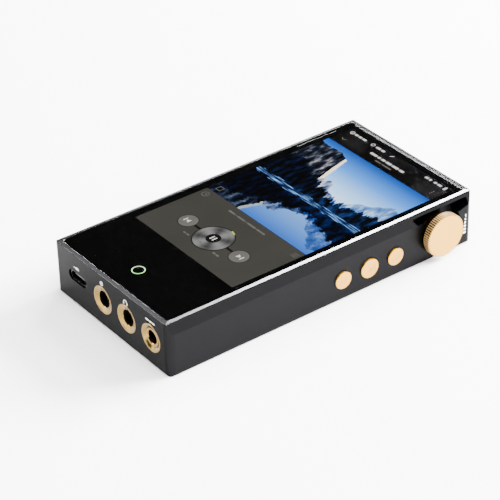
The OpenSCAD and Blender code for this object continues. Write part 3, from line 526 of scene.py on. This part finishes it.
def mountain_lake():
    """The cover picture's paint: snowy peaks and firs over a still lake, from noise and gradients."""
    material, tree, shader, place = surface("lit_mountain_lake", **SCREEN, Emission_Strength=3.0)
    # across runs from 0 to 1; up is 0 at the shore, so the lake is below it
    split = add(tree, "SeparateXYZ", [place])
    width = [split.outputs[0], -VIEW_X * MM, VIEW_X * MM, 0.0, 1.0]
    across = add(tree, "MapRange", width).outputs[0]
    length = [split.outputs[1], ART_LOW * MM, ART_HIGH * MM, -0.4, 0.6]
    up = add(tree, "MapRange", length).outputs[0]
    under = add(tree, "Math", [up, 0.0], operation="LESS_THAN").outputs[0]
    height = add(tree, "Math", [up], operation="ABSOLUTE").outputs[0]
    # ripples shift the reflection sideways
    squeezed = add(tree, "Math", [up, 14.0], operation="MULTIPLY").outputs[0]
    ripple_place = add(tree, "CombineXYZ", [across, squeezed, 0.0]).outputs[0]
    ripples = {"Vector": ripple_place, "Scale": 7.0, "Detail": 3.0}
    ripple = add(tree, "TexNoise", ripples).outputs[0]
    sway = add(tree, "Math", [ripple, 0.5], operation="SUBTRACT").outputs[0]
    sway = add(tree, "Math", [sway, under], operation="MULTIPLY").outputs[0]
    across = add(tree, "Math", [sway, 0.07, across], operation="MULTIPLY_ADD").outputs[0]
    spot = add(tree, "CombineXYZ", [across, height, 0.0]).outputs[0]

    def ridge(peak, top, slope, rugged, scale, shift):
        """1 below a broken skyline that falls away from a peak."""
        away = add(tree, "Math", [across, peak], operation="SUBTRACT").outputs[0]
        away = add(tree, "Math", [away], operation="ABSOLUTE").outputs[0]
        line = add(tree, "Math", [away, -slope, top], operation="MULTIPLY_ADD").outputs[0]
        along = add(tree, "Math", [across, shift], operation="ADD").outputs[0]
        crags = {"W": along, "Scale": scale, "Detail": 6.0}
        broken = add(tree, "TexNoise", crags, noise_dimensions="1D").outputs[0]
        line = add(tree, "Math", [broken, rugged, line], operation="MULTIPLY_ADD").outputs[0]
        return add(tree, "Math", [height, line], operation="LESS_THAN").outputs[0]

    slanted = {"Vector": spot, "Scale": (26, 9, 1), "Rotation": (0, 0, 0.35)}
    streaks = add(tree, "Mapping", slanted).outputs[0]
    rock = add(tree, "TexNoise", {"Vector": streaks, "Scale": 1.0, "Detail": 5.0}).outputs[0]
    sky, haze, far_rock, cliff_rock, snow_rock, left_wood, right_wood, snow = (
        add(tree, "ValToRGB", [fraction], stops).outputs[0] for fraction, *stops in (
            (height, (0.0, "#e4f0ff"), (0.6, "#2257a0"), (0.25, "#a4caf0"), (0.42, "#5a97da")),
            (height, (0.0, "#6f9fdc"), (0.16, "#254678")),
            (rock, (0.35, "#4d6f9f"), (0.7, "#c3d6ec"), (0.5, "#7294c0")),
            (rock, (0.4, "#0b0e17"), (0.78, "#e6d8c4"), (0.52, "#2b3140"), (0.63, "#74757c")),
            (rock, (0.4, "#39486a"), (0.7, "#efe6da"), (0.55, "#8d99b0")),
            (rock, (0.45, "#03050a"), (0.85, "#1d3560")),
            (rock, (0.45, "#08101f"), (0.8, "#34548a")),
            (ripple, (0.5, "#142a50"), (0.68, "#8fbdf0")),
        )
    )
    # a cliff on the left, with a sunlit edge, under one brow
    brow = ridge(0.0, 0.5, 0.12, 0.1, 6.0, 8.4)
    sunlit_edge, cliff = (
        add(tree, "Math", [brow, ridge(0.0, top, 4.0, 0.12, 9.0, 4.2)], operation="MULTIPLY").outputs[0]
        for top in (1.68, 1.58)
    )
    # a snowy bank along the shore
    bank = add(tree, "Math", [up, 0.004], operation="SUBTRACT").outputs[0]
    bank = add(tree, "Math", [bank], operation="ABSOLUTE").outputs[0]
    reach = add(tree, "Math", [ripple, 0.09, -0.028], operation="MULTIPLY_ADD").outputs[0]
    bank = add(tree, "Math", [bank, reach], operation="LESS_THAN").outputs[0]
    picture = sky
    for mask, colour, blend in (
        (ridge(0.95, 0.3, 0.9, 0.14, 5.0, 3.1), far_rock, "MIX"),
        (sunlit_edge, linear("#f2e4cc"), "MIX"),
        (cliff, cliff_rock, "MIX"),
        (ridge(0.4, 0.2, 0.8, 0.16, 8.0, 5.7), snow_rock, "MIX"),
        (ridge(0.6, 0.03, 0.1, 0.2, 26.0, 1.3), haze, "MIX"),
        (ridge(0.1, 0.22, 0.42, 0.2, 34.0, 6.2), left_wood, "MIX"),
        (ridge(1.0, 0.12, 0.3, 0.18, 30.0, 2.6), right_wood, "MIX"),
        # the lake dims what it mirrors
        (under, linear("#9fb4d0"), "MULTIPLY"),
        (bank, snow, "MIX"),
    ):
        layers = {0: mask, 6: picture, 7: colour}
        picture = add(tree, "Mix", layers, data_type="RGBA", blend_type=blend).outputs[2]
    deep = add(tree, "Gamma", [picture, SCREEN_GAMMA]).outputs[0]
    tree.links.new(deep, shader.inputs["Emission Color"])
    return material


def dial_paint(x, y):
    """A spun metal dial as the screen draws it: bright and dark wedges with fine rings."""
    material, tree, shader, place = surface("lit_spun_dial", **SCREEN, Emission_Strength=1.0)
    centre = (x * MM, y * MM, 0)
    centred = add(tree, "VectorMath", [place, centre], operation="SUBTRACT").outputs[0]
    turn = add(tree, "TexGradient", [centred], gradient_type="RADIAL").outputs[1]
    wedges = add(tree, "Math", [turn, 8 * math.pi, 1.1], operation="MULTIPLY_ADD").outputs[0]
    wedges = add(tree, "Math", [wedges], operation="COSINE").outputs[0]
    wedges = add(tree, "MapRange", [wedges, -1.0, 1.0, 0.0, 0.8]).outputs[0]
    reach = add(tree, "VectorMath", [centred], operation="LENGTH").outputs[1]
    rings = {"W": reach, "Scale": 3000.0, "Detail": 1.0}
    lines = add(tree, "TexNoise", rings, noise_dimensions="1D").outputs[0]
    tone = add(tree, "Mix", [0.25, (0, 0, 0), wedges, lines]).outputs[0]
    tones = {0: tone, 6: linear("#3c3c3c"), 7: linear("#b4b4b2")}
    colour = add(tree, "Mix", tones, data_type="RGBA").outputs[2]
    tree.links.new(colour, shader.inputs["Emission Color"])
    return material


make_border()
make_panel()
# every lit patch: liquid crystal light behind glass, so it glows evenly and has no gloss of its own
lit_white = lit("lit_white_signs", "#d9d9d6", "#f4f4f2", 1.6)
lit_grey = lit("lit_grey_signs", "#8b8a87", "#a3a29f", 1.0)
lit_panel = lit("lit_warm_grey_panel", "#575651", "#62615c", 1.6, 20.0)
lit_button = lit("lit_button_grey", "#7b7a76", "#8b8a85", 1.6)
lit_dark = lit("lit_dark_grey", "#302f2d", "#3a3937", 1.0)
lit_title = lit("lit_title_shade", "#1c1a15", "#24211b", 1.0)
lit_lime = lit("lit_lime_tick", "#c2d84a", "#dcec62", 1.5)

gather("cover_picture", mountain_lake(), [
    bar(0, (ART_LOW + ART_HIGH) / 2, 2 * VIEW_X, ART_HIGH - ART_LOW, 0)
])
gather("control_panel", lit_panel, [
    bar(0, (VIEW_LOW + ART_LOW) / 2 + 0.1, 2 * VIEW_X, ART_LOW - VIEW_LOW - 0.3, 0, corner=0.9)
])
gather("title_shade", lit_title, [bar(0.2, TITLE_Y, 23, 4.2, 0, corner=0.6)])
gather("dial_wings", lit_dark, [
    bar(0, DIAL_Y, 21, 0.9, 1),
    *[hoop(side * SKIP_X, DIAL_Y, 3.35, 0.3, 2) for side in SIDES],
    hoop(0, DIAL_Y, 6.85, 0.4, 2),
])
gather("skip_buttons", lit_button, [chip(48, side * SKIP_X, DIAL_Y, 6.6, 6.6, 2) for side in SIDES])
gather("dial_face", dial_paint(0, DIAL_Y), [chip(64, 0, DIAL_Y, 13.4, 13.4, 3)])
gather("dial_hub", lit_dark, [chip(48, 0, DIAL_Y, 5.0, 5.0, 4)])
gather("dial_tick", lit_lime, [
    bar(1.3, DIAL_Y + 6.75, 1.6, 0.55, 5, turn=-11, corner=0.2),
    bar(2.4, DIAL_Y + 6.4, 0.5, 0.5, 5, turn=-20, corner=0.1),
])
gather("white_signs", lit_white, [
    # pause on the dial's hub, and the two skip arrows
    *[bar(side * 0.62, DIAL_Y, 0.55, 2.1, 5, corner=0.1) for side in SIDES],
    *[chip(3, side * 13.2, DIAL_Y, 2.2, 2.0, 4, turn=-90 * side) for side in SIDES],
    *[bar(side * 14.75, DIAL_Y, 0.45, 1.9, 4) for side in SIDES],
    # the status line: rings, dashes, a slanted stroke and a battery
    hoop(-23.3, STATUS_Y, 0.75, 0.3, 1), bar(-23.3, STATUS_Y, 0.5, 0.25, 1),
    *dashes(-21.9, STATUS_Y, (1.4, 1.5, 1.9), 1.0, 1),
    hoop(-12.7, STATUS_Y + 0.1, 0.7, 0.25, 1),
    *dashes(-10.9, STATUS_Y, (2.2, 1.6), 1.0, 1),
    bar(-2.9, STATUS_Y, 1.6, 0.28, 1, turn=45),
    *dashes(13.9, STATUS_Y, (1.6, 1.0), 1.0, 1),
    *dashes(18.2, STATUS_Y, (1.3, 1.9), 1.0, 1),
    bar(23.6, 54.9, 1.0, 1.6, 1, corner=0.15), bar(23.6, 55.85, 0.5, 0.25, 1),
    # the title
    *dashes(-9.4, TITLE_Y + 1, (3.4, 1.3, 1.9, 2.7, 3.1, 2.2), 1.05, 1),
])
gather("grey_signs", lit_grey, [
    # under the title, with a chevron to its left and three dots to its right
    *dashes(-4.6, 49.1, (3.0, 4.6), 0.65, 1),
    bar(-22.7, 50.0, 1.5, 0.3, 1, turn=-42), bar(-21.7, 50.0, 1.5, 0.3, 1, turn=42),
    *[chip(24, 22.5, TITLE_Y + k * 0.85, 0.42, 0.42, 1) for k in (-1, 0, 1)],
    # the head of the control panel: a line of dashes, a clock and a list
    *dashes(-10.2, -7.2, (3.3, 0.4, 3.9, 0.4, 4.3, 4.2), 0.8, 1),
    hoop(-23.0, -7.1, 1.25, 0.25, 1),
    bar(-23.0, -6.7, 0.25, 1.0, 1), bar(-22.7, -7.15, 0.8, 0.25, 1),
    *[bar(23.7, -6.2 - k * 0.85, 2.4, 0.25, 1) for k in range(3)],
    # readings below the dial
    *dashes(-9.3, DIAL_Y - 4.9, (1.4, 1.4), 0.7, 1, 0.3),
    *dashes(6.3, DIAL_Y - 4.9, (1.4, 1.4), 0.7, 1, 0.3),
    *dashes(-1.4, DIAL_Y - 4.4, (1.1, 1.1), 0.6, 4, 0.3),
    # a square of four corners
    *[bar(-22.6 + sx * x, -1.5 + sy * y, *size, 2)
      for sx, sy in ((-1, 1), (1, -1), (1, 1), (-1, -1))
      for x, y, size in ((1.0, 0.6, (0.25, 1.1)), (0.55, 1.05, (1.1, 0.25)))],
])


# ---- table and room ----

# the room is white to look at but dark in reflections, so the glass stays black
ROOM_REFLECTED, ROOM_SEEN = 0.03, 4.0

select_nothing()
bpy.ops.mesh.primitive_plane_add(size=8, location=(0, 0, 0))
table = bpy.context.object
table.name = "table"
# white card: matt, with the faintest mottling
wear(table, grained("white_paper_table", "#f6f6f6", "#fcfcfc", 4.0, (0.6, 0.7), 0.01))
world = bpy.data.worlds.new("studio")
bpy.context.scene.world = world
world.use_nodes = True
room = world.node_tree
room.nodes.clear()
seen = add(room, "LightPath").outputs["Is Camera Ray"]
glow = add(room, "MapRange", [seen, 0.0, 1.0, ROOM_REFLECTED, ROOM_SEEN]).outputs[0]
walls = add(room, "Background", {"Color": (1, 1, 1, 1), "Strength": glow}).outputs[0]
add(room, "OutputWorld", [walls])
